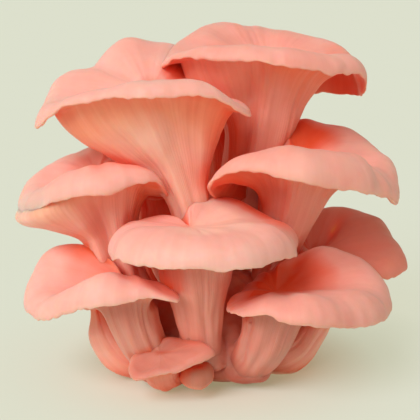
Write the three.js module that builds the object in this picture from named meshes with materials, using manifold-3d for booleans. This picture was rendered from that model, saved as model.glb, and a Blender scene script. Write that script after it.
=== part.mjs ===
// A cluster of pink oyster mushrooms: tiered caps with rolled, waved margins and ribbed gills, on
// curved stems that grow together in one cut foot. Millimetres, +Z up, the camera side is -Y, and the
// origin is the middle of the flat cut face that the cluster stands on.
import * as THREE from 'three';
import { mergeVertices } from 'three/addons/utils/BufferGeometryUtils.js';
import Module from 'manifold-3d';

const wasm = await Module();
wasm.setup();

// Driving dimensions of a cap's flesh, shared by every mushroom.
const FLESH = 3.2; // thickness under the crest of a cap
const EDGE = 1.3; // thickness of the margin at its very edge
const EDGE_ROUND = 0.3; // how far the margin's rounded edge hangs below it
const LIP_FULLNESS = 0.55; // how squarely the margin rolls over, as a share of its width and drop
const INNER_LIP = 0.8; // the same for the hollow side of the margin
const SLOPE_OUT = 0.42; // how far the cap stays level inside its crest
const SLOPE_IN = 0.3; // how wide the bottom of the cap's hollow is
const GILL = 0.8; // height of a gill ridge above the groove beside it
const GAP = 0.3; // clearance between neighbours that press on each other
const FINEST = 0.04; // detail smaller than this is smoothed away

// The cut foot that every stem grows from.
const FOOT_PROFILE = [[0, 0], [28, 0], [33, 3.5], [34, 9], [31, 18], [25, 28], [15, 36], [0, 40]];
const FOOT_DEPTH = 0.84; // its front-to-back size as a share of its width
const FOOT_LOBES = 5; // shallow lobes round its side
const FOOT_LOBE = 0.07;
const FOOT_SIDES = 30;
const SOCKET_SIDES = 14; // the sockets that the stems stand in are plain many-sided holes
const SOCKET_EASE = 0.6; // and this much wider than the stems

// How finely each kind of mushroom is divided: columns round it, and steps along the stem, the flare
// of gills, the inside of the margin, its outside, and the top.
const LARGE = { columns: 36, stem: 3, flare: 4, inside: 1, outside: 3, top: 3 };
const HIDDEN = { columns: 28, stem: 2, flare: 3, inside: 1, outside: 2, top: 3 };
const SMALL = { columns: 16, stem: 3, flare: 2, inside: 1, outside: 1, top: 2 };

const PINK = { color: 0xf09a86, roughness: 0.6, metalness: 0 };
const PALE_PINK = { color: 0xeaa590, roughness: 0.65, metalness: 0 };

// Each mushroom grows from foot by way of bend to hub, the lowest point of its cap's hollow.
// radii: of the stem at its foot, waist and neck. neck: where the gills start, as a share of the stem.
// roll: width of the margin outside the crest. cone: 0 for a trumpet's flare, 1 for a straight funnel.
// belly: how far the gills sag below that flare and how far they bulge out of it, and at which bearing.
// wave: height and number of the margin's waves.
// rim: bearing in degrees from +X, reach of the margin from the hub, rise of the crest above the hub,
// and drop of the margin's edge below the crest.
const MUSHROOMS = [
  {
    name: 'mushroom_front', detail: LARGE, foot: [-3, -27, 11], bend: [-4, -36, 38], hub: [-7, -30, 62],
    radii: [9, 8, 12.5], neck: 0.58, roll: 11, cone: 0.35, belly: [0, 0, 0], wave: [0.4, 9],
    rim: [
      [16, 38, 1.5, 8], [38, 34, 4.5, 7], [75, 27, 7, 5], [92, 22, 5, 5], [112, 14, -2, 3], [128, 20, 1, 5],
      [150, 25.5, 1.5, 7], [176, 29, 1, 9.5], [198, 29.5, 1.5, 10.5], [216, 30, 2, 10], [236, 31, 2.5, 10],
      [255, 32, 2.5, 10], [276, 34, 2.5, 9], [298, 36, 3, 10], [322, 37.5, 3, 10], [345, 39, 2.5, 10],
    ],
  },
  {
    name: 'mushroom_low_right', detail: LARGE, foot: [13, -24, 9.5], bend: [20, -40, 15], hub: [24, -28, 37],
    radii: [8.5, 8.5, 10.5], neck: 0.7, roll: 9, cone: 0.15, belly: [0, 0, 0], wave: [0.6, 8],
    rim: [
      [3, 43, 2, 9], [19, 43.5, 6, 9], [38, 41.5, 10, 8], [54, 37, 11, 7], [67, 23.5, 9, 6], [94, 15.5, 6, 5],
      [151, 12.5, 3, 4], [194, 16, 1, 3], [221, 24, 0, 2.5], [252, 27.5, 4, 4.5], [277, 32, 5, 6.5],
      [309, 34.5, 4, 9], [337, 38.5, 3, 10],
    ],
  },
  {
    name: 'mushroom_low_left', detail: LARGE, foot: [-19, -24, 9], bend: [-27, -37, 18], hub: [-31, -27, 41],
    radii: [8.5, 8, 9.5], neck: 0.7, roll: 9, cone: 0.15, belly: [0, 0, 0], wave: [0.5, 7],
    rim: [
      [0, 10, 1, 3], [44, 8, 0, 3], [90, 9, 0, 3], [114, 11, 2, 3], [126, 20, 6, 5], [135, 33, 9.5, 6],
      [147, 39.5, 8.5, 7], [161, 39.5, 3, 7], [177, 38, -3, 7.5], [198, 33.5, -3, 8.5], [226, 29, 3.5, 10],
      [249, 27.5, 7.2, 9.5], [268, 27, 7.2, 8], [289, 28, 6, 5], [313, 29, 1.5, 3], [337, 15, 1, 3],
    ],
  },
  {
    name: 'mushroom_right', detail: LARGE, foot: [18, -4, 21], bend: [29, 8, 46], hub: [34, -3, 83],
    radii: [6.5, 7.5, 11], neck: 0.66, roll: 10, cone: 0.3, belly: [0, 0, 0], wave: [0.5, 8],
    rim: [
      [8, 38, 1, 10], [25, 37, 4, 9], [48, 38, 8, 8], [74, 36, 10, 7], [98, 28, 9, 7], [125, 15, 3, 7],
      [148, 18, 0, 12], [172, 24, -2, 16], [190, 31, -3, 13], [202, 36.5, -4, 8], [210, 39.5, -4.5, 4.5],
      [222, 42, 2.5, 5], [232, 42, 5.7, 6], [247, 41, 7.5, 7.5], [266, 40, 7.5, 10], [285, 37, 6.5, 12],
      [318, 35, 3, 12.5], [345, 37, -3, 13],
    ],
  },
  {
    name: 'mushroom_top_right', detail: LARGE, foot: [5, 9, 27], bend: [16, 17, 62], hub: [23, 14, 115],
    radii: [7, 10, 13], neck: 0.72, roll: 8, cone: 0.3, belly: [16, 8, 200], wave: [0.6, 7],
    rim: [
      [0, 38.5, 2.5, 12], [25, 40, 7, 19], [46, 39, 11, 23], [64, 38, 12.5, 25], [80, 38.5, 15, 18],
      [93, 40, 16, 11], [106, 40, 15, 9], [124, 40.5, 17.5, 8], [150, 39, 14, 8], [172, 41.5, 9.5, 8],
      [190, 42.5, 5, 5], [206, 42, 7.5, 4], [224, 41, 10, 4], [243, 38, 10, 5], [272, 36, 9.5, 6],
      [300, 36, 8, 7], [333, 37.5, 6, 8],
    ],
  },
  {
    name: 'mushroom_top_left', detail: LARGE, foot: [-4, -7, 27], bend: [-1, -15, 56], hub: [-22, -8, 110],
    radii: [6.5, 6, 8.5], neck: 0.6, roll: 7, cone: 0.7, belly: [6, 12, 198], wave: [0.6, 9],
    rim: [
      [0, 32, -4, 4], [26, 23, -4, 4], [46, 28, 0, 4], [64, 37, 8, 6], [76, 39, 13.5, 7], [90, 40, 15, 7],
      [112, 40, 15.5, 7], [122, 40, 13.5, 7], [134, 41, 6, 8], [155, 43.5, 3, 9], [175, 43.5, -4.5, 9],
      [195, 42, -6, 9], [215, 38, -2, 4.5], [240, 36, 2, 4], [272, 34, 4.5, 5.5], [306, 37, 3.5, 5],
      [334, 41, -4, 5],
    ],
  },
  {
    name: 'mushroom_left', detail: LARGE, foot: [-19, -9, 17], bend: [-38, -13, 38], hub: [-43, -5, 78],
    radii: [7, 8, 10.5], neck: 0.66, roll: 9, cone: 0.55, belly: [8, 38, 204], wave: [0.5, 8],
    rim: [
      [0, 29, -6, 4], [24, 24, -3, 4], [48, 20, 1, 4], [75, 22, 4.5, 5], [97, 28, 5.5, 5],
      [121, 27.5, 4, 6], [144, 28, 2, 7], [165, 30, -1.5, 9], [184, 29.5, -5, 9], [202, 29, -5.5, 9],
      [222, 28.5, -2.5, 9], [244, 30, 2, 9], [256, 31, 3.5, 8.5], [273, 32, 5.5, 8.5], [295, 33, 6.5, 8],
      [312, 33, 5.5, 5], [334, 30, -3, 4],
    ],
  },
  {
    name: 'mushroom_right_rear', detail: LARGE, foot: [27, 4, 10], bend: [40, 4, 16], hub: [41, 11, 42],
    radii: [7.5, 8.5, 10], neck: 0.7, roll: 8, cone: 0.2, belly: [0, 0, 0], wave: [0.5, 7],
    rim: [
      [12, 36.4, 8, 7], [28, 36.3, 11.5, 6.5], [46, 34, 13.5, 6], [65, 30.6, 14, 6], [86, 23.7, 11, 5],
      [123, 15.4, 7, 4], [181, 8.7, 4, 4], [257, 11.1, 2, 4], [298, 19.2, 0, 4.5], [320, 30.8, -1, 5],
      [332, 34.7, 0, 6], [348, 37.8, 2, 6.5], [359, 37.8, 5, 7],
    ],
  },
  {
    name: 'mushroom_inner_left', detail: HIDDEN, foot: [-12, 8, 25], bend: [-20, 6, 46], hub: [-22, 8, 72],
    radii: [5, 7, 8], neck: 0.6, roll: 5, cone: 0.4, belly: [0, 0, 0], wave: [0.4, 5],
    rim: [
      [0, 15, 1, 3], [45, 14, 2, 4], [90, 15, 2, 4], [135, 16, 2, 4], [180, 16, 2, 3], [225, 14, 0, 3],
      [270, 14, -2, 3], [315, 15, -1, 3],
    ],
  },
  {
    name: 'mushroom_back_right', detail: HIDDEN, foot: [3, 16, 22], bend: [9, 32, 54], hub: [6, 42, 97],
    radii: [6, 8.5, 9.5], neck: 0.66, roll: 6, cone: 0.35, belly: [0, 0, 0], wave: [0.6, 6],
    rim: [
      [0, 26, 0, 6], [45, 26, -2, 7], [90, 25, -2, 7], [135, 28, 0, 6], [180, 30, 2, 6], [225, 26, 3, 5],
      [270, 20, 3, 4], [315, 20, 1, 5],
    ],
  },
  {
    name: 'mushroom_back_left', detail: HIDDEN, foot: [-20, 14, 14], bend: [-32, 26, 34], hub: [-36, 36, 62],
    radii: [6, 7, 8], neck: 0.68, roll: 7, cone: 0.25, belly: [0, 0, 0], wave: [0.8, 6],
    rim: [
      [0, 22, 2, 5], [45, 26, 2, 6], [90, 28, 0, 7], [135, 27, 0, 7], [180, 23, 2, 6], [225, 18, 4, 5],
      [270, 14, 5, 4], [315, 18, 4, 4],
    ],
  },
  {
    name: 'mushroom_back_low', detail: HIDDEN, foot: [4, 24, 9], bend: [10, 40, 16], hub: [12, 46, 44],
    radii: [7, 8, 9], neck: 0.68, roll: 7, cone: 0.25, belly: [0, 0, 0], wave: [0.7, 6],
    rim: [
      [0, 26, 2, 6], [45, 27, 0, 7], [90, 26, -2, 7], [135, 28, 0, 7], [180, 28, 2, 6], [225, 20, 5, 4],
      [270, 14, 6, 4], [315, 19, 4, 5],
    ],
  },
];

// Young ones that are still one with the foot.
const BUDS = [
  {
    detail: SMALL, foot: [-20, -16, 9], bend: [-37.5, -20, 5], hub: [-43, -16, 33],
    radii: [9, 9.5, 8], neck: 0.7, roll: 3.5, cone: 0.5, belly: [0, 0, 0], wave: [0, 4],
    rim: [[0, 7.2, -0.5, 4], [90, 7.2, 0, 4], [180, 7.2, -1, 4], [270, 7.2, -0.5, 4]],
  },
  {
    detail: SMALL, foot: [22, -11, 9], bend: [36, -14, 3], hub: [43, -10, 25],
    radii: [9, 8, 6], neck: 0.7, roll: 3, cone: 0.2, belly: [0, 0, 0], wave: [0, 4],
    rim: [[0, 11, 0, 2], [90, 10, 1, 2], [180, 9, 1, 2], [270, 11, 0, 2]],
  },
  {
    detail: SMALL, foot: [-13, -23, 7], bend: [-19, -36, 6], hub: [-18, -39, 17.5],
    radii: [7, 7.5, 7], neck: 0.6, roll: 3, cone: 0.2, belly: [0, 0, 0], wave: [0, 4],
    rim: [
      [0, 17, 4, 2], [90, 8, 3, 1.5], [180, 10.5, 0, 2], [225, 13, -4.5, 2], [270, 10.5, -2.5, 2],
      [315, 14, -0.5, 2], [342, 20, 3, 2],
    ],
  },
  {
    detail: SMALL, foot: [-5, -24, 7], bend: [-5, -35, 6], hub: [-5, -37, 14],
    radii: [6, 6.5, 6.5], neck: 0.6, roll: 3.5, cone: 0.2, belly: [0, 0, 0], wave: [0, 4],
    rim: [[0, 6.5, -1, 5], [90, 6.5, 0, 3], [180, 6.5, -1, 5], [270, 7, -1.5, 7]],
  },
];

const UP = new THREE.Vector3(0, 0, 1);

// A rim value at a bearing: a smooth periodic curve through its rows.
function rimValue(rows, column, bearing) {
  const count = rows.length;
  const row = (i) => rows[((i % count) + count) % count];
  const turn = (i) => row(i)[0] + 360 * Math.floor(i / count);
  let i = -1;
  while (turn(i + 1) <= bearing) i += 1;
  const slope = (j) => (row(j + 1)[column] - row(j - 1)[column]) / (turn(j + 1) - turn(j - 1));
  const width = turn(i + 1) - turn(i);
  const t = (bearing - turn(i)) / width;
  return (
    (2 * t ** 3 - 3 * t ** 2 + 1) * row(i)[column] +
    (t ** 3 - 2 * t ** 2 + t) * width * slope(i) +
    (3 * t ** 2 - 2 * t ** 3) * row(i + 1)[column] +
    (t ** 3 - t ** 2) * width * slope(i + 1)
  );
}

// A point moved by so much along a direction.
function moved(point, direction, distance) {
  return point.clone().addScaledVector(direction, distance);
}

// The points of a cubic curve after its start, in so many steps.
function steps(start, leave, arrive, end, count) {
  return new THREE.CubicBezierCurve3(start, leave, arrive, end).getPoints(count).slice(1);
}

// One column of a mushroom's skin: up the stem, out under the gills, round the margin, in over the top.
function columnPoints(spec, detail, bearing) {
  const angle = THREE.MathUtils.degToRad(bearing);
  const outward = new THREE.Vector3(Math.cos(angle), Math.sin(angle), 0);
  const hub = new THREE.Vector3(...spec.hub);
  const spine = new THREE.QuadraticBezierCurve3(
    new THREE.Vector3(...spec.foot), new THREE.Vector3(...spec.bend), hub,
  );
  const along = (share) => spine.getTangent(share * spec.neck);
  const [footRadius, waistRadius, neckRadius] = spec.radii;
  const thickness = new THREE.QuadraticBezierCurve(
    new THREE.Vector2(0, footRadius),
    new THREE.Vector2(0.5, 2 * waistRadius - (footRadius + neckRadius) / 2),
    new THREE.Vector2(1, neckRadius),
  );
  const points = [];
  for (let k = 0; k <= detail.stem; k += 1) {
    const share = k / detail.stem;
    const lean = new THREE.Quaternion().setFromUnitVectors(UP, along(share));
    const side = outward.clone().applyQuaternion(lean);
    points.push(moved(spine.getPoint(share * spec.neck), side, thickness.getPoint(share).y));
  }
  const gillsStart = points.length;

  const [waveHeight, waves] = spec.wave;
  const wave = waveHeight * Math.sin(waves * angle + spec.hub[0]);
  const reach = rimValue(spec.rim, 1, bearing) + wave;
  const rise = rimValue(spec.rim, 2, bearing) + wave * 0.4;
  const drop = Math.max(rimValue(spec.rim, 3, bearing) + wave * 0.6, 1);
  const roll = Math.min(spec.roll, reach / 2);
  const crestReach = reach - roll;
  const crest = moved(moved(hub, outward, crestReach), UP, rise);
  const under = moved(crest, UP, -FLESH);
  const edge = moved(moved(hub, outward, reach), UP, rise - drop);
  const innerEdge = moved(edge, outward, -EDGE);

  const neck = points[points.length - 1];
  const straight = under.clone().sub(neck);
  const span = straight.length();
  straight.normalize();
  const leave = along(1).lerp(straight, spec.cone);
  const arrive = outward.clone().lerp(straight, spec.cone);
  const [sag, bulge, bellyBearing] = spec.belly;
  const facing = Math.max(Math.cos(THREE.MathUtils.degToRad(bearing - bellyBearing)), 0) ** 2;
  const beforeUnder = moved(under, arrive, -0.42 * span);
  beforeUnder.addScaledVector(UP, -sag * facing).addScaledVector(outward, bulge * facing);
  points.push(...steps(neck, moved(neck, leave, 0.38 * span), beforeUnder, under, detail.flare));
  const lip = roll * LIP_FULLNESS;
  points.push(...steps(
    under, moved(under, outward, lip * INNER_LIP),
    moved(innerEdge, UP, LIP_FULLNESS * Math.max(drop - FLESH, EDGE_ROUND)), innerEdge, detail.inside,
  ));
  const gillsEnd = points.length;
  points.push(moved(moved(edge, outward, -EDGE * 0.45), UP, -EDGE_ROUND), edge);
  points.push(...steps(
    edge, moved(edge, UP, LIP_FULLNESS * drop), moved(crest, outward, lip), crest, detail.outside,
  ));
  points.push(...steps(
    crest, moved(crest, outward, -SLOPE_OUT * crestReach), moved(hub, outward, SLOPE_IN * crestReach),
    hub, detail.top,
  ).slice(0, -1));
  return { points, gillsStart, gillsEnd };
}

// The skin as a closed geometry: columns side by side, with a point at the foot and one at the hub.
function mushroomGeometry(spec, gill, grow) {
  const { detail } = spec;
  const columns = [];
  for (let k = 0; k < detail.columns; k += 1) {
    columns.push(columnPoints(spec, detail, (360 * k) / detail.columns));
  }
  const rings = columns[0].points.length;
  const positions = [];
  for (let r = 0; r < rings; r += 1) {
    columns.forEach((column) => positions.push(...column.points[r].toArray()));
  }
  positions.push(...spec.foot, ...spec.hub);
  const at = (r, k) => r * detail.columns + (k % detail.columns);
  const footPoint = rings * detail.columns;
  const hubPoint = footPoint + 1;
  const faces = [];
  for (let k = 0; k < detail.columns; k += 1) {
    faces.push(footPoint, at(0, k + 1), at(0, k), hubPoint, at(rings - 1, k), at(rings - 1, k + 1));
    for (let r = 0; r < rings - 1; r += 1) {
      faces.push(at(r, k), at(r, k + 1), at(r + 1, k + 1), at(r, k), at(r + 1, k + 1), at(r + 1, k));
    }
  }
  const geometry = new THREE.BufferGeometry();
  geometry.setAttribute('position', new THREE.Float32BufferAttribute(positions, 3));
  geometry.setIndex(faces);
  raise(geometry, (index) => {
    const r = Math.floor(index / detail.columns);
    const { gillsStart, gillsEnd } = columns[0];
    if (r >= gillsEnd - 1) return grow;
    const fade = THREE.MathUtils.smoothstep(r, gillsStart - 2.5, gillsStart + 1);
    return grow + (index % 2 ? 0.5 : -0.5) * gill * fade;
  });
  return geometry;
}

// Moves each vertex along its own normal by what height gives for its index.
function raise(geometry, height) {
  geometry.computeVertexNormals();
  const position = geometry.getAttribute('position');
  const normal = geometry.getAttribute('normal');
  const point = new THREE.Vector3();
  const direction = new THREE.Vector3();
  for (let i = 0; i < position.count; i += 1) {
    point.fromBufferAttribute(position, i);
    direction.fromBufferAttribute(normal, i);
    position.setXYZ(i, ...point.addScaledVector(direction, height(i)).toArray());
  }
  geometry.deleteAttribute('normal');
}

function toSolid(geometry) {
  const merged = mergeVertices(geometry, 1e-4);
  return new wasm.Manifold(new wasm.Mesh({
    numProp: 3,
    vertProperties: new Float32Array(merged.getAttribute('position').array),
    triVerts: new Uint32Array(merged.index.array),
  }));
}

// The largest body of a solid, without the scraps and tiny edges that cutting by its neighbours leaves.
function tidied(solid) {
  const bodies = solid.decompose();
  return bodies.reduce((best, body) => (body.volume() > best.volume() ? body : best)).simplify(FINEST);
}

function toGeometry(solid) {
  const mesh = solid.getMesh();
  const geometry = new THREE.BufferGeometry();
  geometry.setAttribute('position', new THREE.BufferAttribute(mesh.vertProperties, 3));
  geometry.setIndex(new THREE.BufferAttribute(mesh.triVerts, 1));
  return geometry;
}

// The cut foot: a lobed lump, flat below.
function footSolid() {
  const profile = FOOT_PROFILE.map(([radius, height]) => new THREE.Vector2(radius, height));
  const geometry = new THREE.LatheGeometry(profile, FOOT_SIDES);
  geometry.deleteAttribute('uv');
  geometry.deleteAttribute('normal');
  geometry.rotateX(Math.PI / 2);
  const position = geometry.getAttribute('position');
  for (let i = 0; i < position.count; i += 1) {
    const bearing = Math.atan2(position.getY(i), position.getX(i));
    const lobe = 1 + FOOT_LOBE * Math.cos(FOOT_LOBES * bearing);
    position.setXYZ(i, position.getX(i) * lobe, position.getY(i) * lobe * FOOT_DEPTH, position.getZ(i));
  }
  return toSolid(geometry);
}

function addMesh(group, name, solid, finish) {
  const mesh = new THREE.Mesh(toGeometry(solid), new THREE.MeshStandardMaterial(finish));
  mesh.name = name;
  group.add(mesh);
}

// Mushrooms earlier in the list stay whole, and later ones give way where they press on them.
const cluster = new THREE.Group();
const grown = [];
MUSHROOMS.forEach((spec) => {
  const whole = toSolid(mushroomGeometry(spec, GILL, 0));
  addMesh(cluster, spec.name, tidied(grown.reduce((rest, other) => rest.subtract(other), whole)), PINK);
  grown.push(toSolid(mushroomGeometry(spec, 0, GAP + GILL / 2)));
});
const foot = BUDS.reduce((rest, spec) => rest.add(toSolid(mushroomGeometry(spec, 0, 0))), footSolid());
const socketed = MUSHROOMS.reduce((rest, spec) => {
  const plain = { ...spec, detail: { ...spec.detail, columns: SOCKET_SIDES } };
  return rest.subtract(toSolid(mushroomGeometry(plain, 0, SOCKET_EASE)));
}, foot.trimByPlane([0, 0, 1], 0));
addMesh(cluster, 'cut_foot', tidied(socketed), PALE_PINK);

export default cluster;
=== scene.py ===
"""A cluster of pink oyster mushrooms, dressed for rendering.

Each mushroom is a fleshy stem that flares into fine gills under a rolled, waved cap.
"""

import math

import bpy
import numpy as np
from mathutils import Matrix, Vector
from mathutils.bvhtree import BVHTree
from mathutils.kdtree import KDTree


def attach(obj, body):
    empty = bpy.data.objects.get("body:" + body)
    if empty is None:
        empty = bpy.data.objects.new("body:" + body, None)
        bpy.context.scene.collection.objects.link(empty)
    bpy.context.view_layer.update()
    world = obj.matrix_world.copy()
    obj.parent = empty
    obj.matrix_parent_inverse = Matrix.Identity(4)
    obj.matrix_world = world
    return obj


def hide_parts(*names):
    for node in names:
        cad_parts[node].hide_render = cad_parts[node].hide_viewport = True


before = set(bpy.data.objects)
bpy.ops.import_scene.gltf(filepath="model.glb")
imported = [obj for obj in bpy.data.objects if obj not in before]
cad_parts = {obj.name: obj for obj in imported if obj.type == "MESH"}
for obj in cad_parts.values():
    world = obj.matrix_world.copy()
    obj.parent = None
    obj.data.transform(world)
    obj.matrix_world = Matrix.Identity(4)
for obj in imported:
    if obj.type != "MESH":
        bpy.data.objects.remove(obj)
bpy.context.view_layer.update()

# The mushrooms' shapes, in millimetres, as in the part's source.
FLESH = 3.2
EDGE = 1.3
EDGE_ROUND = 0.3
LIP_FULLNESS = 0.55
INNER_LIP = 0.8
SLOPE_OUT = 0.42
SLOPE_IN = 0.3
FOOT_PROFILE = [[0, 0], [28, 0], [33, 3.5], [34, 9], [31, 18], [25, 28], [15, 36], [0, 40]]
FOOT_DEPTH = 0.84
FOOT_LOBES = 5
FOOT_LOBE = 0.07
MUSHROOMS = {
    "mushroom_front": {
        "columns": 36, "foot": [-3, -27, 11], "bend": [-4, -36, 38], "hub": [-7, -30, 62],
        "radii": [9, 8, 12.5], "neck": 0.58, "roll": 11, "cone": 0.35, "belly": [0, 0, 0],
        "wave": [0.4, 9],
        "rim": [
            [16, 38, 1.5, 8], [38, 34, 4.5, 7], [75, 27, 7, 5], [92, 22, 5, 5], [112, 14, -2, 3],
            [128, 20, 1, 5], [150, 25.5, 1.5, 7], [176, 29, 1, 9.5], [198, 29.5, 1.5, 10.5],
            [216, 30, 2, 10], [236, 31, 2.5, 10], [255, 32, 2.5, 10], [276, 34, 2.5, 9],
            [298, 36, 3, 10], [322, 37.5, 3, 10], [345, 39, 2.5, 10],
        ],
    },
    "mushroom_low_right": {
        "columns": 36, "foot": [13, -24, 9.5], "bend": [20, -40, 15], "hub": [24, -28, 37],
        "radii": [8.5, 8.5, 10.5], "neck": 0.7, "roll": 9, "cone": 0.15, "belly": [0, 0, 0],
        "wave": [0.6, 8],
        "rim": [
            [3, 43, 2, 9], [19, 43.5, 6, 9], [38, 41.5, 10, 8], [54, 37, 11, 7], [67, 23.5, 9, 6],
            [94, 15.5, 6, 5], [151, 12.5, 3, 4], [194, 16, 1, 3], [221, 24, 0, 2.5],
            [252, 27.5, 4, 4.5], [277, 32, 5, 6.5], [309, 34.5, 4, 9], [337, 38.5, 3, 10],
        ],
    },
    "mushroom_low_left": {
        "columns": 36, "foot": [-19, -24, 9], "bend": [-27, -37, 18], "hub": [-31, -27, 41],
        "radii": [8.5, 8, 9.5], "neck": 0.7, "roll": 9, "cone": 0.15, "belly": [0, 0, 0],
        "wave": [0.5, 7],
        "rim": [
            [0, 10, 1, 3], [44, 8, 0, 3], [90, 9, 0, 3], [114, 11, 2, 3], [126, 20, 6, 5],
            [135, 33, 9.5, 6], [147, 39.5, 8.5, 7], [161, 39.5, 3, 7], [177, 38, -3, 7.5],
            [198, 33.5, -3, 8.5], [226, 29, 3.5, 10], [249, 27.5, 7.2, 9.5], [268, 27, 7.2, 8],
            [289, 28, 6, 5], [313, 29, 1.5, 3], [337, 15, 1, 3],
        ],
    },
    "mushroom_right": {
        "columns": 36, "foot": [18, -4, 21], "bend": [29, 8, 46], "hub": [34, -3, 83],
        "radii": [6.5, 7.5, 11], "neck": 0.66, "roll": 10, "cone": 0.3, "belly": [0, 0, 0],
        "wave": [0.5, 8],
        "rim": [
            [8, 38, 1, 10], [25, 37, 4, 9], [48, 38, 8, 8], [74, 36, 10, 7], [98, 28, 9, 7],
            [125, 15, 3, 7], [148, 18, 0, 12], [172, 24, -2, 16], [190, 31, -3, 13],
            [202, 36.5, -4, 8], [210, 39.5, -4.5, 4.5], [222, 42, 2.5, 5], [232, 42, 5.7, 6],
            [247, 41, 7.5, 7.5], [266, 40, 7.5, 10], [285, 37, 6.5, 12], [318, 35, 3, 12.5],
            [345, 37, -3, 13],
        ],
    },
    "mushroom_top_right": {
        "columns": 36, "foot": [5, 9, 27], "bend": [16, 17, 62], "hub": [23, 14, 115],
        "radii": [7, 10, 13], "neck": 0.72, "roll": 8, "cone": 0.3, "belly": [16, 8, 200],
        "wave": [0.6, 7],
        "rim": [
            [0, 38.5, 2.5, 12], [25, 40, 7, 19], [46, 39, 11, 23], [64, 38, 12.5, 25],
            [80, 38.5, 15, 18], [93, 40, 16, 11], [106, 40, 15, 9], [124, 40.5, 17.5, 8],
            [150, 39, 14, 8], [172, 41.5, 9.5, 8], [190, 42.5, 5, 5], [206, 42, 7.5, 4],
            [224, 41, 10, 4], [243, 38, 10, 5], [272, 36, 9.5, 6], [300, 36, 8, 7],
            [333, 37.5, 6, 8],
        ],
    },
    "mushroom_top_left": {
        "columns": 36, "foot": [-4, -7, 27], "bend": [-1, -15, 56], "hub": [-22, -8, 110],
        "radii": [6.5, 6, 8.5], "neck": 0.6, "roll": 7, "cone": 0.7, "belly": [6, 12, 198],
        "wave": [0.6, 9],
        "rim": [
            [0, 32, -4, 4], [26, 23, -4, 4], [46, 28, 0, 4], [64, 37, 8, 6], [76, 39, 13.5, 7],
            [90, 40, 15, 7], [112, 40, 15.5, 7], [122, 40, 13.5, 7], [134, 41, 6, 8],
            [155, 43.5, 3, 9], [175, 43.5, -4.5, 9], [195, 42, -6, 9], [215, 38, -2, 4.5],
            [240, 36, 2, 4], [272, 34, 4.5, 5.5], [306, 37, 3.5, 5], [334, 41, -4, 5],
        ],
    },
    "mushroom_left": {
        "columns": 36, "foot": [-19, -9, 17], "bend": [-38, -13, 38], "hub": [-43, -5, 78],
        "radii": [7, 8, 10.5], "neck": 0.66, "roll": 9, "cone": 0.55, "belly": [8, 38, 204],
        "wave": [0.5, 8],
        "rim": [
            [0, 29, -6, 4], [24, 24, -3, 4], [48, 20, 1, 4], [75, 22, 4.5, 5], [97, 28, 5.5, 5],
            [121, 27.5, 4, 6], [144, 28, 2, 7], [165, 30, -1.5, 9], [184, 29.5, -5, 9],
            [202, 29, -5.5, 9], [222, 28.5, -2.5, 9], [244, 30, 2, 9], [256, 31, 3.5, 8.5],
            [273, 32, 5.5, 8.5], [295, 33, 6.5, 8], [312, 33, 5.5, 5], [334, 30, -3, 4],
        ],
    },
    "mushroom_right_rear": {
        "columns": 36, "foot": [27, 4, 10], "bend": [40, 4, 16], "hub": [41, 11, 42],
        "radii": [7.5, 8.5, 10], "neck": 0.7, "roll": 8, "cone": 0.2, "belly": [0, 0, 0],
        "wave": [0.5, 7],
        "rim": [
            [12, 36.4, 8, 7], [28, 36.3, 11.5, 6.5], [46, 34, 13.5, 6], [65, 30.6, 14, 6],
            [86, 23.7, 11, 5], [123, 15.4, 7, 4], [181, 8.7, 4, 4], [257, 11.1, 2, 4],
            [298, 19.2, 0, 4.5], [320, 30.8, -1, 5], [332, 34.7, 0, 6], [348, 37.8, 2, 6.5],
            [359, 37.8, 5, 7],
        ],
    },
    "mushroom_inner_left": {
        "columns": 28, "foot": [-12, 8, 25], "bend": [-20, 6, 46], "hub": [-22, 8, 72],
        "radii": [5, 7, 8], "neck": 0.6, "roll": 5, "cone": 0.4, "belly": [0, 0, 0],
        "wave": [0.4, 5],
        "rim": [
            [0, 15, 1, 3], [45, 14, 2, 4], [90, 15, 2, 4], [135, 16, 2, 4], [180, 16, 2, 3],
            [225, 14, 0, 3], [270, 14, -2, 3], [315, 15, -1, 3],
        ],
    },
    "mushroom_back_right": {
        "columns": 28, "foot": [3, 16, 22], "bend": [9, 32, 54], "hub": [6, 42, 97],
        "radii": [6, 8.5, 9.5], "neck": 0.66, "roll": 6, "cone": 0.35, "belly": [0, 0, 0],
        "wave": [0.6, 6],
        "rim": [
            [0, 26, 0, 6], [45, 26, -2, 7], [90, 25, -2, 7], [135, 28, 0, 6], [180, 30, 2, 6],
            [225, 26, 3, 5], [270, 20, 3, 4], [315, 20, 1, 5],
        ],
    },
    "mushroom_back_left": {
        "columns": 28, "foot": [-20, 14, 14], "bend": [-32, 26, 34], "hub": [-36, 36, 62],
        "radii": [6, 7, 8], "neck": 0.68, "roll": 7, "cone": 0.25, "belly": [0, 0, 0],
        "wave": [0.8, 6],
        "rim": [
            [0, 22, 2, 5], [45, 26, 2, 6], [90, 28, 0, 7], [135, 27, 0, 7], [180, 23, 2, 6],
            [225, 18, 4, 5], [270, 14, 5, 4], [315, 18, 4, 4],
        ],
    },
    "mushroom_back_low": {
        "columns": 28, "foot": [4, 24, 9], "bend": [10, 40, 16], "hub": [12, 46, 44],
        "radii": [7, 8, 9], "neck": 0.68, "roll": 7, "cone": 0.25, "belly": [0, 0, 0],
        "wave": [0.7, 6],
        "rim": [
            [0, 26, 2, 6], [45, 27, 0, 7], [90, 26, -2, 7], [135, 28, 0, 7], [180, 28, 2, 6],
            [225, 20, 5, 4], [270, 14, 6, 4], [315, 19, 4, 5],
        ],
    },
}
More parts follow.
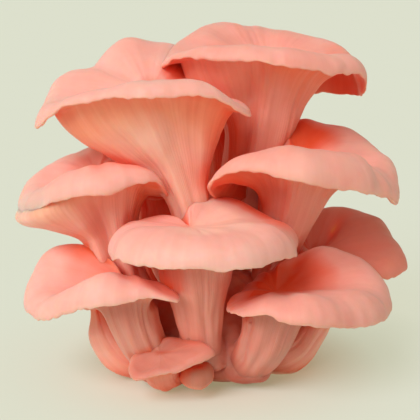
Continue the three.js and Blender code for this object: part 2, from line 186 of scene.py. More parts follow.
BUDS = {
    "left": {
        "columns": 16, "foot": [-20, -16, 9], "bend": [-37.5, -20, 5], "hub": [-43, -16, 33],
        "radii": [9, 9.5, 8], "neck": 0.7, "roll": 3.5, "cone": 0.5, "belly": [0, 0, 0],
        "wave": [0, 4],
        "rim": [
            [0, 7.2, -0.5, 4], [90, 7.2, 0, 4], [180, 7.2, -1, 4], [270, 7.2, -0.5, 4],
        ],
    },
    "right": {
        "columns": 16, "foot": [22, -11, 9], "bend": [36, -14, 3], "hub": [43, -10, 25],
        "radii": [9, 8, 6], "neck": 0.7, "roll": 3, "cone": 0.2, "belly": [0, 0, 0], "wave": [0, 4],
        "rim": [
            [0, 11, 0, 2], [90, 10, 1, 2], [180, 9, 1, 2], [270, 11, 0, 2],
        ],
    },
    "flat": {
        "columns": 16, "foot": [-13, -23, 7], "bend": [-19, -36, 6], "hub": [-18, -39, 17.5],
        "radii": [7, 7.5, 7], "neck": 0.6, "roll": 3, "cone": 0.2, "belly": [0, 0, 0],
        "wave": [0, 4],
        "rim": [
            [0, 17, 4, 2], [90, 8, 3, 1.5], [180, 10.5, 0, 2], [225, 13, -4.5, 2],
            [270, 10.5, -2.5, 2], [315, 14, -0.5, 2], [342, 20, 3, 2],
        ],
    },
    "middle": {
        "columns": 16, "foot": [-5, -24, 7], "bend": [-5, -35, 6], "hub": [-5, -37, 14],
        "radii": [6, 6.5, 6.5], "neck": 0.6, "roll": 3.5, "cone": 0.2, "belly": [0, 0, 0],
        "wave": [0, 4],
        "rim": [
            [0, 6.5, -1, 5], [90, 6.5, 0, 3], [180, 6.5, -1, 5], [270, 7, -1.5, 7],
        ],
    },
}

# Soft folds: bearing, half width in degrees, depth in millimetres (negative for a ridge), and from which
# place to which. Place 0 is the foot, 1 the neck, 2 under the crest, 2.6 the edge, 3 the crest, 4 the hub.
FOLDS = {
    "mushroom_front": [
        (232, 12, 0.7, 0.0, 1.6), (262, 9, -0.5, 0.0, 1.5), (283, 11, 0.6, 0.1, 1.7),
        (310, 10, 0.5, 0.3, 1.6),
    ],
    "mushroom_low_right": [
        (225, 14, 0.7, 0.0, 1.4), (268, 12, 0.6, 0.0, 1.5), (300, 11, 0.4, 0.2, 1.5),
    ],
    "mushroom_low_left": [
        (240, 12, 0.7, 0.0, 1.5), (275, 10, 0.6, 0.0, 1.5), (305, 11, 0.4, 0.2, 1.6),
    ],
    "mushroom_right": [(238, 14, 1.2, 0.2, 1.7), (280, 12, 0.8, 0.2, 1.6)],
    "mushroom_top_right": [
        (246, 11, 2.4, 0.5, 1.75), (268, 8, -0.6, 0.6, 1.7), (292, 10, 0.7, 0.6, 1.8),
    ],
    "mushroom_top_left": [
        (232, 13, 1.6, 0.7, 1.8), (258, 10, -1.0, 0.6, 1.8), (284, 9, 0.8, 0.6, 1.8),
        (318, 12, -0.8, 0.7, 1.8),
    ],
    "mushroom_left": [
        (268, 13, 3.2, 0.2, 1.7), (242, 9, -1.2, 0.2, 1.6), (300, 12, -1.0, 0.2, 1.7),
        (212, 10, 1.0, 0.4, 1.8),
    ],
    "mushroom_right_rear": [(250, 14, 1.0, 0.0, 1.5), (45, 12, 2.5, 3.05, 3.9)],
}

# Patches of painted shade, turned toward the deep colours, or of painted light and paler flesh where
# negative:
# bearing, half width in degrees, from which place to which, and how strongly.
SHADE_AND_PALE_PATCHES = {
    "mushroom_left": [
        (199, 27, 1.3, 2.3, -0.9), (199, 36, 2.45, 2.65, 0.6), (275, 50, 0.6, 1.8, -0.3),
    ],
    "mushroom_right": [(185, 45, 0.9, 2.45, 0.3), (95, 75, 3.12, 4.2, 0.6)],
    "mushroom_top_left": [(250, 36, 0.3, 1.7, -0.8), (308, 38, 1.5, 2.45, 0.35)],
    "mushroom_top_right": [
        (165, 55, 0.15, 1.6, 0.7), (222, 42, 1.5, 2.4, -0.65), (90, 90, 3.5, 4.2, 0.3),
        (285, 22, 0.5, 1.6, -0.5), (8, 42, 2.3, 3.3, 0.55),
    ],
    "mushroom_low_right": [
        (165, 85, 3.0, 4.2, 0.8), (60, 60, 3.2, 4.2, 0.5), (320, 60, 3.3, 4.2, 0.38),
    ],
    "mushroom_low_left": [(90, 85, 3.1, 4.2, 0.34), (250, 70, 3.3, 4.2, 0.5)],
    "mushroom_right_rear": [(180, 80, 3.2, 4.2, 0.35)],
    "mushroom_front": [(340, 90, 3.05, 4.2, -0.8), (10, 40, 2.3, 3.1, 0.35)],
}

# Colours of the flesh, in 0 to 255 steps: the deep ones are painted shade where it is hidden, the low one
# near the foot.
LOOKS = {
    "low_stem": (226, 142, 126), "stem": (252, 178, 162), "under": (255, 166, 134),
    "rim": (252, 142, 106), "edge": (255, 190, 170), "lip": (255, 182, 172), "top": (253, 174, 163),
    "hollow": (240, 118, 96), "painted_shade": (255, 100, 54), "low_painted_shade": (190, 68, 42),
    "pale": (255, 192, 178),
}

# Colours that differ on one mushroom, and tints that multiply all of a mushroom's colours.
OWN = {
    "cut_foot": {"low_stem": (226, 150, 134), "stem": (232, 156, 140)},
    "mushroom_left": {"pale": (255, 194, 180)},
    "mushroom_top_left": {"pale": (255, 202, 184)},
    # The top right mushroom's lighter deep colour is painted light, bounced up under its cap.
    "mushroom_top_right": {"painted_shade": (244, 114, 76), "under": (255, 160, 124)},
    # The front mushroom's lighter pale and hollow colours are painted light, lifting the shade on its top.
    "mushroom_front": {
        "pale": (255, 212, 196), "hollow": (252, 165, 148), "stem": (236, 158, 142),
        "low_stem": (205, 122, 106),
    },
    "mushroom_low_left": {
        "painted_shade": (240, 104, 66), "stem": (222, 151, 135), "low_stem": (197, 121, 106),
    },
    "mushroom_low_right": {"stem": (228, 158, 144), "low_stem": (212, 134, 120)},
    "mushroom_right": {"painted_shade": (238, 92, 54)},
    "young_flat": {"top": (222, 138, 122), "lip": (226, 146, 130), "hollow": (212, 114, 94)},
    "young_middle": {"top": (205, 125, 104), "lip": (205, 125, 104), "hollow": (195, 110, 90)},
}
# The darker tints, most on the mushrooms at the right and back, are partly their own browner tone and
# partly painted shade.
TONE_AND_SHADE_TINTS = {
    "mushroom_right_rear": (0.73, 0.49, 0.41), "mushroom_inner_left": (0.98, 0.7, 0.62),
    "mushroom_back_right": (0.96, 0.62, 0.5), "mushroom_low_right": (0.88, 0.82, 0.79),
    "mushroom_right": (0.98, 0.9, 0.87), "mushroom_back_left": (0.98, 0.88, 0.85),
    "mushroom_top_right": (0.97, 0.86, 0.84), "mushroom_back_low": (0.97, 0.85, 0.81),
    "cut_foot": (0.92, 0.95, 0.95), "young_flat": (0.9, 0.95, 0.96),
    "young_middle": (0.86, 1.0, 1.0),
}

# The light, and the camera in metres and degrees.
BACKGROUND = (221, 224, 205)
SUN = 2.3
SUN_FROM = Vector((-0.62, -0.85, 0.80)).normalized()
AMBIENT = 0.62
CAMERA_ELEVATION = 12
CAMERA_AIM = 0.0615
CAMERA_DISTANCE = 0.385

# Heights of the finer relief, in millimetres.
GILL_DEPTH = 0.16
RIB_DEPTH = 0.34
STREAK_DEPTH = 0.06
SWELL = 0.42
PIMPLE = 0.05
STEM_RIBS = 0.25

# Rings of each stretch of a skin, and columns and gills round a large, a small and a young mushroom.
STEM, FLARE, INSIDE, ROUND_EDGE, OUTSIDE, TOP = 22, 30, 6, 4, 14, 20
LARGE_SKIN = (384, 96)
SMALL_SKIN = (240, 60)
YOUNG_SKIN = (144, 36)
LARGE_COLUMNS = 30

# How hidden a point is, for the painted shade: rays cast from it, where they start, and how far a
# neighbour still hides it.
SHADE_RAYS = 28
SHADE_START = 0.8
SHADE_REACH = 45.0
SHADE_ROW_STEP = 3
SHADE_COLUMN_STEP = 8
AIR_ROW_STEP = 2
AIR_COLUMN_STEP = 6
AIR_FLOOR = 400.0

# The blended foot: how much of each stem it takes in, how far its skirt stands out at the root and draws
# in at the top, in millimetres, the blend's cells in metres, and its swells as height and length.
SKIRT_SHARE = 0.42
SKIRT_OUT = 1.2
SKIRT_IN = 0.8
FOOT_CELL = 0.0009
FOOT_SOFTENING = 10
FOOT_SWELLS = ((0.9, 16), (0.35, 6), (0.12, 2.5))
FOOT_SHADE_STEP = 5

UP = np.array([0.0, 0.0, 1.0])


# Shapes.

def rim_value(rows, column, bearings):
    """A rim value at each bearing: a smooth periodic curve through its rows."""
    rows = np.array(rows, float)
    turns = np.concatenate([rows[-2:, 0] - 360, rows[:, 0], rows[:2, 0] + 360])
    values = np.concatenate([rows[-2:, column], rows[:, column], rows[:2, column]])
    slopes = np.zeros(len(turns))
    slopes[1:-1] = (values[2:] - values[:-2]) / (turns[2:] - turns[:-2])
    i = np.searchsorted(turns, bearings, side="right") - 1
    width = turns[i + 1] - turns[i]
    t = (bearings - turns[i]) / width
    return (
        (2 * t**3 - 3 * t**2 + 1) * values[i]
        + (t**3 - 2 * t**2 + t) * width * slopes[i]
        + (3 * t**2 - 2 * t**3) * values[i + 1]
        + (t**3 - t**2) * width * slopes[i + 1]
    )


def lumps(points, seed, size, count=14):
    """A smooth random field at those points, about -1 to 1, with lumps of about that size."""
    rng = np.random.default_rng(seed)
    direction = rng.normal(size=(count, 3))
    direction /= np.linalg.norm(direction, axis=1)[:, None]
    waves = direction * (2 * math.pi / (size * rng.uniform(0.7, 1.6, count)))[:, None]
    phase = rng.uniform(0, 2 * math.pi, count)
    return np.sin(points @ waves.T + phase).sum(axis=-1) / math.sqrt(count)


def cubic(a, b, c, d, count):
    """The points of a cubic curve after its start."""
    t = (np.arange(1, count + 1) / count)[:, None, None]
    return (1 - t) ** 3 * a + 3 * t * (1 - t) ** 2 * b + 3 * t**2 * (1 - t) * c + t**3 * d


def circle(angle):
    """A unit circle's points at those angles."""
    return np.stack([np.cos(angle), np.sin(angle), 0 * angle], axis=1)


def round_angles(count):
    return np.arange(count) * 2 * math.pi / count


def across(way):
    """The turn that takes upright rings square to that way."""
    x, y, z = way
    turn = 1 / (1 + z)
    return np.array([
        [1 - x * x * turn, -x * y * turn, x],
        [-x * y * turn, 1 - y * y * turn, y],
        [-x, -y, z],
    ])


def stem_points(spec):
    return tuple(np.array(spec[key], float) for key in ("foot", "bend", "hub"))


def spine(spec, t):
    """The middle of a stem, from foot to hub."""
    foot, bend, hub = stem_points(spec)
    return (1 - t) ** 2 * foot + 2 * t * (1 - t) * bend + t**2 * hub


def along(spec, t):
    """The way a stem grows there."""
    foot, bend, hub = stem_points(spec)
    way = 2 * (1 - t) * (bend - foot) + 2 * t * (hub - bend)
    return way / np.linalg.norm(way)


def stem_radius(spec, t):
    """A stem's radius from its foot to its neck, through the waist."""
    low, waist, high = spec["radii"]
    return (1 - t) ** 2 * low + 2 * t * (1 - t) * (2 * waist - (low + high) / 2) + t**2 * high


def smooth(value, low, high):
    t = np.clip((value - low) / (high - low), 0, 1)
    return t * t * (3 - 2 * t)


def span_of(place, low, high, fade):
    """One between two places, and fading to nothing beyond them."""
    return smooth(place, low - 0.2, low + 0.25) * (1 - smooth(place, high - fade, high + 0.2))


def rim_of(spec, seed, bearings, angle):
    """Reach, rise and drop of the rim at each bearing, with its waves and small unevenness."""
    height, number = spec["wave"]
    wave = height * np.sin(number * angle + spec["hub"][0])
    reach = rim_value(spec["rim"], 1, bearings) + wave
    rise = rim_value(spec["rim"], 2, bearings) + 0.4 * wave
    drop = np.maximum(rim_value(spec["rim"], 3, bearings) + 0.6 * wave, 1)
    size = reach.max()
    around = circle(angle) * size

    def uneven(number, share, length):
        return share * size * lumps(around, seed + number, length * size)

    reach = reach + uneven(0, 0.010, 0.6) + uneven(1, 0.003, 0.16)
    rise = rise + uneven(2, 0.010, 0.5)
    drop = drop + uneven(3, 0.010, 0.3) + uneven(10, 0.005, 0.09)
    drop = np.maximum(drop, 1)
    return tuple(value[:, None] for value in (reach, rise, drop))


def skin(spec, seed, columns):
    """Rings up the stem, out under the gills, round the margin and in over the top, and their places."""
    bearings = np.arange(columns) * 360 / columns
    angle = np.radians(bearings)
    outward = circle(angle)
    hub = stem_points(spec)[2]
    rings, places = [], []
    for k in range(STEM + 1):
        t = k / STEM
        share = t * spec["neck"]
        rings.append(spine(spec, share) + stem_radius(spec, t) * outward @ across(along(spec, share)).T)
        places.append(t)

    reach, rise, drop = rim_of(spec, seed, bearings, angle)
    roll = np.minimum(spec["roll"], reach / 2)
    crest_reach = reach - roll
    crest = hub + outward * crest_reach + UP * rise
    under = crest - UP * FLESH
    edge = hub + outward * reach + UP * (rise - drop)
    inner_edge = edge - outward * EDGE

    neck = rings[-1]
    span = np.linalg.norm(under - neck, axis=1)[:, None]
    straight = (under - neck) / span
    cone = spec["cone"]
    leave = (1 - cone) * along(spec, spec["neck"]) + cone * straight
    arrive = (1 - cone) * outward + cone * straight
    sag, bulge, belly_bearing = spec["belly"]
    facing = np.maximum(np.cos(np.radians(bearings - belly_bearing)), 0)[:, None] ** 2
    before_under = under - arrive * 0.42 * span - UP * sag * facing + outward * bulge * facing
    lip = roll * LIP_FULLNESS
    inward_lip = outward * lip * INNER_LIP
    rounding = UP * EDGE_ROUND * 1.6
    hanging = UP * LIP_FULLNESS * np.maximum(drop - FLESH, EDGE_ROUND)
    slope_out = outward * SLOPE_OUT * crest_reach
    slope_in = outward * SLOPE_IN * crest_reach
    stretches = (
        (cubic(neck, neck + leave * 0.38 * span, before_under, under, FLARE), 1, 2),
        (cubic(under, under + inward_lip, inner_edge + hanging, inner_edge, INSIDE), 2, 2.5),
        (cubic(inner_edge, inner_edge - rounding, edge - rounding, edge, ROUND_EDGE), 2.5, 2.6),
        (cubic(edge, edge + UP * LIP_FULLNESS * drop, crest + outward * lip, crest, OUTSIDE), 2.6, 3),
        (cubic(crest, crest - slope_out, hub + slope_in, hub + 0 * outward, TOP)[:-1], 3, 4),
    )
    for points, start, end in stretches:
        rings.extend(points)
        places.extend(start + (end - start) * (k + 1) / len(points) for k in range(len(points)))
    return np.array(rings), np.array(places), angle


def normals_of(rings):
    """The outward normal at each point of a grid of rings."""
    around = np.roll(rings, -1, axis=1) - np.roll(rings, 1, axis=1)
    upward = np.gradient(rings, axis=0)
    normal = np.cross(around, upward)
    return normal / np.maximum(np.linalg.norm(normal, axis=2), 1e-9)[:, :, None]


def relief(name, rings, places, angle, gills, seed):
    """How far each point stands out of the plain skin: ribs, gills, folds and faint swells."""
    place = places[:, None]
    around = circle(angle) * 10
    sway = 0.5 * lumps(rings, seed + 4, 34)
    strength = np.clip(0.6 + 0.5 * lumps(around, seed + 5, 8), 0.15, 1.3)
    uneven = angle + 0.16 * lumps(around, seed + 11, 9)
    ridge = np.abs(np.sin(0.5 * gills * angle + sway)) - 0.6
    ribs = 0.6 * np.sin(gills / 5 * uneven + sway) + 0.4 * np.sin(gills / 8 * uneven + 2 * sway + seed)
    streaks = np.sin(gills * 0.2 * uneven + 1.5 * lumps(rings, seed + 6, 22))
    stem_ribs = np.sin(9 * uneven + 2 * lumps(rings, seed + 9, 30))

    rooted = smooth(place, 0.2, 0.55)
    stem = 1 - smooth(place, 0.4, 1.4)
    gilled = smooth(place, 0.5, 1.2) * (1 - smooth(place, 2.25, 2.5))
    level = 1 - smooth(place, 3.3, 3.85)
    top = smooth(place, 2.62, 3.0) * level
    # Both sides of the thin lip swell the same way, so it keeps its thickness.
    side = 1 - 2 * smooth(place, 1.7, 2.2) * (1 - smooth(place, 2.48, 2.62))
    height = (
        gilled * strength * (GILL_DEPTH * ridge + RIB_DEPTH * ribs)
        + top * STREAK_DEPTH * streaks
        + SWELL * side * rooted * level * lumps(rings, seed + 7, 17)
        + PIMPLE * level * lumps(rings, seed + 8, 5)
        + STEM_RIBS * rooted * stem * stem_ribs
    )
    wander = 4 * lumps(rings, seed + 12, 30)
    for bearing, half, depth, low, high in FOLDS.get(name, ()):
        off = (np.degrees(angle) - bearing + 180) % 360 - 180 + wander
        height = height - depth * rooted * span_of(place, low, high, 0.35) * np.exp(-((off / half) ** 2))
    return height


def shade_and_pale_of(name, rings, places, angle):
    """How much painted shade the patches lay on each point, or painted light and paler flesh where
    negative.
    """
    shade_and_pale = np.zeros(rings.shape[:2])
    wander = 6 * lumps(rings, 21, 20)
    for bearing, half, low, high, amount in SHADE_AND_PALE_PATCHES.get(name, ()):
        off = (np.degrees(angle) - bearing + 180) % 360 - 180 + wander
        shade_and_pale = shade_and_pale + amount * span_of(places[:, None], low, high, 0.2) * np.exp(-((off / half) ** 4))
    return shade_and_pale


def carved(name, spec, seed, columns, gills):
    """A mushroom's rings with all their relief."""
    rings, places, angle = skin(spec, seed, columns)
    rings = rings + normals_of(rings) * relief(name, rings, places, angle, gills, seed)[:, :, None]
    return {"name": name, "rings": rings, "places": places, "angle": angle, "foot": stem_points(spec)[0]}


# Meshes.

def grid_faces(rings, columns):
    """Quads between rings, as vertex numbers."""
    r, c = np.meshgrid(np.arange(rings - 1), np.arange(columns), indexing="ij")
    a = r * columns + c
    b = r * columns + (c + 1) % columns
    return np.stack([a, b, b + columns, a + columns], axis=2).reshape(-1, 4)


def closed(rings, low, high):
    """The points and faces of a grid of rings, closed by a fan to a point at each end."""
    columns = rings.shape[1]
    count = len(rings) * columns
    points = np.concatenate([rings.reshape(-1, 3), [low, high]])
    faces = grid_faces(len(rings), columns).tolist()
    for k in range(columns):
        n = (k + 1) % columns
        faces.append((count, n, k))
        faces.append((count + 1, count - columns + k, count - columns + n))
    return points, faces


def linked_mesh(name, points, faces):
    """A mesh object in the scene, from points in metres."""
    mesh = bpy.data.meshes.new(name)
    mesh.from_pydata(points.tolist(), [], faces)
    piece = bpy.data.objects.new(name, mesh)
    bpy.context.scene.collection.objects.link(piece)
    return piece


def new_piece(name, points, faces, attributes, material):
    """A smooth-shaded mesh object from points in millimetres, none of them below the table."""
    points = np.maximum(points, [-np.inf, -np.inf, 0])
    piece = linked_mesh(name, points / 1000, faces)
    mesh = piece.data
    for key, values in attributes.items():
        scalar = values.ndim == 1
        data = mesh.attributes.new(key, "FLOAT" if scalar else "FLOAT_VECTOR", "POINT")
        data.data.foreach_set("value" if scalar else "vector", values.astype(np.float32).ravel())
    mesh.shade_smooth()
    mesh.update()
    mesh.materials.append(material)
    return piece


def shade_of(points, normals, tree):
    """How hidden each point is from open air, 0 to 1, by casting rays from it."""
    turn = np.arange(SHADE_RAYS) * math.pi * (3 - math.sqrt(5))
    lift = np.sqrt(1 - (np.arange(SHADE_RAYS) + 0.5) / SHADE_RAYS)
    flat = np.sqrt(1 - lift**2)
    fan = np.column_stack([flat * np.cos(turn), flat * np.sin(turn), lift])
    helper = np.where(np.abs(normals[:, 2:]) < 0.9, UP, np.array([1.0, 0.0, 0.0]))
    sideways = np.cross(helper, normals)
    sideways /= np.linalg.norm(sideways, axis=1)[:, None]
    over = np.cross(normals, sideways)
    shade = np.zeros(len(points))
    for k, (point, normal) in enumerate(zip(points, normals)):
        rays = fan[:, :1] * sideways[k] + fan[:, 1:2] * over[k] + fan[:, 2:] * normal
        start = Vector(point + SHADE_START * normal)
        for ray in rays:
            distance = tree.ray_cast(start, Vector(ray), SHADE_REACH)[3]
            if distance is not None:
                shade[k] += 1 - (distance / SHADE_REACH) ** 2
    return shade / SHADE_RAYS


def spread(values, rows, columns, shape):
    """A coarse grid's values at every point of the full one, going round the columns."""
    wrapped = np.concatenate([values, values[:, :1]], axis=1)
    tall = np.array([np.interp(np.arange(shape[0]), rows, column) for column in wrapped.T]).T
    stops = np.append(columns, shape[1])
    return np.array([np.interp(np.arange(shape[1]), stops, row) for row in tall])


def rings_shade(rings, tree):
    """The shade of a grid of rings, cast at every few points and spread between them."""
    rows = np.unique(np.append(np.arange(0, len(rings), SHADE_ROW_STEP), len(rings) - 1))
    columns = np.arange(0, rings.shape[1], SHADE_COLUMN_STEP)
    some = np.ix_(rows, columns)
    values = shade_of(rings[some].reshape(-1, 3), normals_of(rings)[some].reshape(-1, 3), tree)
    return spread(values.reshape(len(rows), len(columns)), rows, columns, rings.shape[:2])


def open_air(shapes):
    """A tree of coarse copies of those rings and the floor, for casting rays at."""
    points, faces = [], []
    for shape in shapes:
        coarse = shape["rings"][::AIR_ROW_STEP, ::AIR_COLUMN_STEP]
        start = sum(len(p) for p in points)
        faces.extend((grid_faces(len(coarse), coarse.shape[1]) + start).tolist())
        points.append(coarse.reshape(-1, 3))
    start = sum(len(p) for p in points)
    h = AIR_FLOOR
    points.append(np.array([[-h, -h, 0], [h, -h, 0], [h, h, 0], [-h, h, 0]], float))
    faces.append([start, start + 1, start + 2, start + 3])
    return BVHTree.FromPolygons(np.concatenate(points).tolist(), faces)


def mushroom(name, shape, tree, material):
    """A piece from a mushroom's rings, with what its colours are laid by."""
    rings, places, angle = shape["rings"], shape["places"], shape["angle"]
    points, faces = closed(rings, shape["foot"], rings[-1].mean(axis=0))
    ringed = np.repeat(places, len(angle))
    turn = np.tile(circle(angle)[:, :2], (len(rings), 1))
    shade_and_pale = shade_and_pale_of(shape["name"], rings, places, angle)
    shade = rings_shade(rings, tree)
    attributes = {
        "place": np.concatenate([ringed, [0, 4]]),
        "grain": np.concatenate([np.column_stack([turn, ringed]), [[0, 0, 0], [0, 0, 4]]]),
        "shade": np.concatenate([shade.ravel(), [1, shade[-1].mean()]]),
        "shade_and_pale": np.concatenate([shade_and_pale.ravel(), [0, shade_and_pale[-1].mean()]]),
    }
    return new_piece(name, points, faces, attributes, material)


def foot_lump():
    """The foot's own lobed lump, as points and faces."""
    angle = round_angles(96)
    profile = np.array(FOOT_PROFILE, float)
    length = np.concatenate([[0], np.cumsum(np.linalg.norm(np.diff(profile, axis=0), axis=1))])
    lobe = 1 + FOOT_LOBE * np.cos(FOOT_LOBES * angle)
    rings = []
    for s in np.linspace(0, length[-1], 40)[1:-1]:
        radius = np.interp(s, length, profile[:, 0]) * lobe
        height = np.interp(s, length, profile[:, 1])
        x, y = radius * np.cos(angle), radius * np.sin(angle) * FOOT_DEPTH
        rings.append(np.stack([x, y, 0 * angle + height], axis=1))
    return closed(np.array(rings), [0, 0, 0], [0, 0, profile[-1, 1]])


def stump(spec, sides=40):
    """The lowest part of a stem, a little wider at its root, for the foot to blend into."""
    outward = circle(round_angles(sides))
    rings = []
    for t in np.linspace(0.0, SKIRT_SHARE, 9):
        share = t * spec["neck"]
        radius = stem_radius(spec, t)
        radius += SKIRT_OUT * (1 - t / SKIRT_SHARE) - SKIRT_IN * (t / SKIRT_SHARE)
        rings.append(spine(spec, share) + radius * outward @ across(along(spec, share)).T)
    rings = np.array(rings)
    return closed(rings, rings[0].mean(axis=0), rings[-1].mean(axis=0))


def blended(shapes):
    """The points in millimetres, normals and faces of one even skin over those shapes."""
    points, faces = [], []
    for more_points, more_faces in shapes:
        start = sum(len(p) for p in points)
        points.append(more_points)
        faces.extend(tuple(v + start for v in face) for face in more_faces)
    rough = linked_mesh("foot_shapes", np.concatenate(points) / 1000, faces)
    remesh = rough.modifiers.new("blend", "REMESH")
    remesh.mode = "VOXEL"
    remesh.voxel_size = FOOT_CELL
    soften = rough.modifiers.new("soften", "SMOOTH")
    soften.factor = 0.5
    soften.iterations = FOOT_SOFTENING
    settled = rough.evaluated_get(bpy.context.evaluated_depsgraph_get()).to_mesh()
    values = {}
    for key in ("co", "normal"):
        values[key] = np.empty(len(settled.vertices) * 3)
        settled.vertices.foreach_get(key, values[key])
    polygons = [tuple(p.vertices) for p in settled.polygons]
    bpy.data.objects.remove(rough)
    return values["co"].reshape(-1, 3) * 1000, values["normal"].reshape(-1, 3), polygons


def foot_skin(tree, material):
    """The foot with a skirt round each stem."""
    verts, normal, polygons = blended([foot_lump()] + [stump(spec) for spec in MUSHROOMS.values()])
    swell = 0
    for number, (height, length) in enumerate(FOOT_SWELLS):
        swell = swell + height * lumps(verts, 7 + number, length)
    verts = verts + normal * (swell * smooth(verts[:, 2], 0.5, 6))[:, None]
    verts[:, 2] = np.maximum(verts[:, 2], 0)
    few = np.arange(0, len(verts), FOOT_SHADE_STEP)
    near = KDTree(len(few))
    for k, v in enumerate(verts[few]):
        near.insert(Vector(v), k)
    near.balance()
    values = shade_of(verts[few], normal[few], tree)
    shade = np.array([values[[found[1] for found in near.find_n(Vector(v), 3)]].mean() for v in verts])
    bearing = np.arctan2(verts[:, 1], verts[:, 0])
    attributes = {
        "place": 0.55 * smooth(verts[:, 2], 0, 34),
        "grain": np.column_stack([np.cos(bearing), np.sin(bearing), verts[:, 2] / 40]),
        "shade": shade,
        "shade_and_pale": 0 * shade,
    }
    return new_piece("skin_of_foot", verts, polygons, attributes, material)


# Materials.

def srgb(r, g, b):
    """A colour given in 0 to 255 steps, as linear values."""
    def linear(c):
        return c / 255 / 12.92 if c <= 10 else ((c / 255 + 0.055) / 1.055) ** 2.4

    return tuple(linear(c) for c in (r, g, b)) + (1,)


def grey(value):
    return (value, value, value, 1)


def feed(tree, socket, value):
    """Sets a socket's value, or links it where the value is a socket."""
    if isinstance(value, bpy.types.NodeSocket):
        tree.links.new(value, socket)
    else:
        socket.default_value = value


def add(tree, kind, settings=None, **inputs):
    """A node with its settings and inputs; i0, i1 and so on are inputs by number."""
    node = tree.nodes.new(kind)
    for key, value in (settings or {}).items():
        setattr(node, key, value)
    for key, value in inputs.items():
        numbered = key[0] == "i" and key[1:].isdigit()
        feed(tree, node.inputs[int(key[1:])] if numbered else node.inputs[key.replace("_", " ")], value)
    return node


def attribute(tree, name, output="Fac"):
    return add(tree, "ShaderNodeAttribute", {"attribute_name": name}).outputs[output]


def noise(tree, vector, scale, detail, roughness=0.5):
    node = add(
        tree, "ShaderNodeTexNoise", Vector=vector, Scale=scale, Detail=detail, Roughness=roughness,
    )
    return node.outputs["Fac"]


def maths(tree, operation, *values, clamp=False):
    settings = {"operation": operation, "use_clamp": clamp}
    inputs = {f"i{number}": value for number, value in enumerate(values)}
    return add(tree, "ShaderNodeMath", settings, **inputs).outputs[0]


def ramp(tree, value, stops):
    node = add(tree, "ShaderNodeValToRGB", i0=value)
    elements = node.color_ramp.elements
    while len(elements) < len(stops):
        elements.new(0.5)
    for element, (position, colour) in zip(elements, stops):
        element.position = position
        element.color = colour
    return node.outputs["Color"]


def mix(tree, factor, a, b, blend="MIX"):
    node = add(tree, "ShaderNodeMix", {"data_type": "RGBA", "blend_type": blend})
    for index, value in ((0, factor), (6, a), (7, b)):
        feed(tree, node.inputs[index], value)
    return node.outputs[2]


def flesh(name, stem, low_stem, under, rim, edge, lip, top, hollow, painted_shade, low_painted_shade, pale):
    """Flesh coloured by its place on the mushroom, with painted shade where it is hidden, patches of
    painted shade or light, and streaks and mottling.
    """
    material = bpy.data.materials.new(name)
    material.use_nodes = True
    tree = material.node_tree
    tree.nodes.clear()
    # Ramps run from 0 to 1, so they read a quarter of the place.
    quarter = maths(tree, "MULTIPLY", attribute(tree, "place"), 0.25)
    grain = attribute(tree, "grain", "Vector")
    shade_and_pale = attribute(tree, "shade_and_pale")
    position = add(tree, "ShaderNodeTexCoord").outputs["Object"]

    # Toward the hub the flesh turns to the hollow colour, partly painted shade.
    base = ramp(tree, quarter, [
        (0.0, low_stem), (0.12, stem), (0.33, stem), (0.44, under), (0.57, rim), (0.63, edge),
        (0.66, lip), (0.76, lip), (0.84, top), (0.93, top), (1.0, hollow),
    ])
    # Where the patches are negative the flesh turns to the pale colour: painted light and paler flesh.
    base = mix(tree, maths(tree, "MULTIPLY", shade_and_pale, -1.0, clamp=True), base, pale)
    # Painted shade: where the flesh is hidden, or a patch is positive, it turns toward the deep colours.
    hidden = maths(tree, "ADD", attribute(tree, "shade"), shade_and_pale)
    hidden = ramp(tree, hidden, [(0.40, grey(0)), (0.95, grey(1))])
    base = mix(tree, hidden, base, ramp(tree, quarter, [(0.04, low_painted_shade), (0.16, painted_shade)]))

    rays = add(tree, "ShaderNodeVectorMath", {"operation": "MULTIPLY"}, i0=grain, i1=(13, 13, 0.9))
    streak = noise(tree, rays.outputs[0], 1.0, 3.0, 0.6)
    streaked = ramp(tree, streak, [(0.3, (0.92, 0.84, 0.81, 1)), (0.7, (1.0, 1.04, 1.04, 1))])
    strength = ramp(tree, quarter, [
        (0.0, grey(0.5)), (0.5, grey(0.9)), (0.62, grey(0.8)), (0.68, grey(0.30)), (0.86, grey(0.35)),
        (0.95, grey(0)),
    ])
    base = mix(tree, strength, base, mix(tree, 1.0, base, streaked, "MULTIPLY"))
    mottle = noise(tree, position, 60.0, 4.0, 0.55)
    spots = ramp(tree, mottle, [(0.34, (0.95, 0.85, 0.83, 1)), (0.64, (1.0, 1.05, 1.05, 1))])
    base = mix(tree, 0.7, base, spots, "MULTIPLY")

    fine = noise(tree, position, 700.0, 3.0, 0.6)
    height = maths(tree, "MULTIPLY_ADD", streak, 0.5, fine)
    bump = add(tree, "ShaderNodeBump", Strength=0.10, Distance=0.0005, Height=height)
    rough = add(tree, "ShaderNodeMapRange", Value=mottle, i3=0.46, i4=0.62)
    shader = add(
        tree, "ShaderNodeBsdfPrincipled", Base_Color=base, Roughness=rough.outputs[0],
        Normal=bump.outputs["Normal"], Subsurface_Weight=0.6, Subsurface_Radius=(1.0, 0.30, 0.16),
        Subsurface_Scale=0.007,
    )
    shader.inputs["Specular IOR Level"].default_value = 0.35
    shader.inputs["Sheen Weight"].default_value = 0.12
    shader.inputs["Sheen Roughness"].default_value = 0.5
    shader.inputs["Sheen Tint"].default_value = (1.0, 0.85, 0.78, 1)
    out = add(tree, "ShaderNodeOutputMaterial")
    tree.links.new(shader.outputs[0], out.inputs[0])
    return material


def flesh_for(name):
    """The flesh of one mushroom, in the common colours or its own, times its tint, which is partly painted
    shade.
    """
    tone_and_shade_tint = TONE_AND_SHADE_TINTS.get(name, (1, 1, 1))
    looks = {}
    for key, colour in (LOOKS | OWN.get(name, {})).items():
        looks[key] = tuple(c * by for c, by in zip(srgb(*colour)[:3], tone_and_shade_tint)) + (1,)
    return flesh("flesh_of_" + name, **looks)


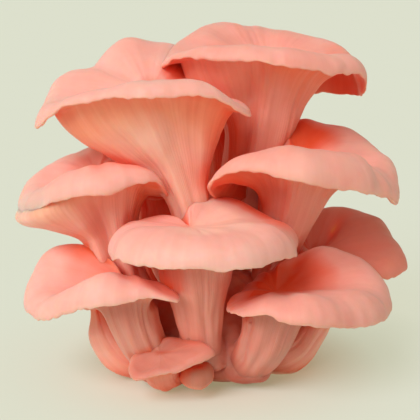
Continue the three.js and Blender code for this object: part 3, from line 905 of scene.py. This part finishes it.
def floor():
    """A very wide round floor in the background's colour under these lights."""
    angle = round_angles(64)
    radii = np.geomspace(0.05, 250.0, 14)
    flat = np.zeros((len(radii), len(angle)))
    rings = np.stack([np.outer(radii, np.cos(angle)), np.outer(radii, np.sin(angle)), flat], axis=2)
    points = np.concatenate([rings.reshape(-1, 3), [[0, 0, 0]]])
    faces = grid_faces(len(rings), len(angle)).tolist()
    faces += [(len(points) - 1, k, (k + 1) % len(angle)) for k in range(len(angle))]
    piece = linked_mesh("floor", points, faces)
    material = bpy.data.materials.new("floor_paper")
    material.use_nodes = True
    tree = material.node_tree
    shader = tree.nodes["Principled BSDF"]
    background = srgb(*BACKGROUND)
    lit = SUN * SUN_FROM.z / math.pi
    share = [c / (AMBIENT * c + lit) for c in background[:3]]
    low, high = (tuple(c * by for c in share) + (1,) for by in (0.985, 1.01))
    position = add(tree, "ShaderNodeTexCoord").outputs["Object"]
    paper = ramp(tree, noise(tree, position, 9.0, 2.0), [(0.3, low), (0.7, high)])
    # Away from the cluster the paper gives way to a glow of the background's colour.
    radius = add(tree, "ShaderNodeVectorMath", {"operation": "LENGTH"}, i0=position).outputs["Value"]
    dull = ramp(tree, maths(tree, "MULTIPLY", radius, 5.0), [
        (0.2, (0.72, 0.72, 0.80, 1)), (0.34, (0.38, 0.36, 0.43, 1)), (0.55, (0.11, 0.14, 0.20, 1)),
    ])
    rest = mix(tree, 1.0, (1, 1, 1, 1), dull, "SUBTRACT")
    feed(tree, shader.inputs["Base Color"], mix(tree, 1.0, paper, dull, "MULTIPLY"))
    feed(tree, shader.inputs["Emission Color"], mix(tree, 1.0, rest, background, "MULTIPLY"))
    shader.inputs["Emission Strength"].default_value = 1.0
    shader.inputs["Roughness"].default_value = 1.0
    shader.inputs["Specular IOR Level"].default_value = 0.0
    piece.data.materials.append(material)


# Pieces.

shapes = {}
for number, (name, spec) in enumerate(MUSHROOMS.items()):
    skin_size = LARGE_SKIN if spec["columns"] > LARGE_COLUMNS else SMALL_SKIN
    shapes[name] = carved(name, spec, 100 + 10 * number, *skin_size)
for number, (name, spec) in enumerate(BUDS.items()):
    shapes["young_" + name] = carved("young_" + name, spec, 300 + 10 * number, *YOUNG_SKIN)
air = open_air(shapes.values())
for name in MUSHROOMS:
    piece = mushroom("skin_of_" + name, shapes[name], air, flesh_for(name))
    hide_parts(name)
    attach(piece, "root")

foot = foot_skin(air, flesh_for("cut_foot"))
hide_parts("cut_foot")
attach(foot, "root")
for name in BUDS:
    piece = mushroom("young_" + name, shapes["young_" + name], air, flesh_for("young_" + name))
    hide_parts("cut_foot")
    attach(piece, "root")

# Stage, lights and camera.

floor()
sun = bpy.data.lights.new("key", "SUN")
sun.energy = SUN
sun.angle = math.radians(38)
sun.color = (1.0, 0.985, 0.96)
lamp = bpy.data.objects.new("key", sun)
lamp.rotation_euler = SUN_FROM.to_track_quat("Z", "Y").to_euler()
bpy.context.scene.collection.objects.link(lamp)
world = bpy.data.worlds.new("studio")
bpy.context.scene.world = world
world.use_nodes = True
sky = world.node_tree.nodes["Background"]
sky.inputs["Color"].default_value = srgb(*BACKGROUND)
sky.inputs["Strength"].default_value = AMBIENT

camera = bpy.data.cameras.new("camera")
camera.lens = 85
camera.sensor_width = 36
camera.clip_start = 0.01
camera.clip_end = 1000
viewer = bpy.data.objects.new("camera", camera)
elevation = math.radians(CAMERA_ELEVATION)
back = Vector((0, -math.cos(elevation), math.sin(elevation)))
viewer.location = Vector((0, 0, CAMERA_AIM)) + back * CAMERA_DISTANCE
viewer.rotation_euler = (-back).to_track_quat("-Z", "Y").to_euler()
bpy.context.scene.collection.objects.link(viewer)
bpy.context.scene.camera = viewer
bpy.context.scene.view_settings.view_transform = "Standard"
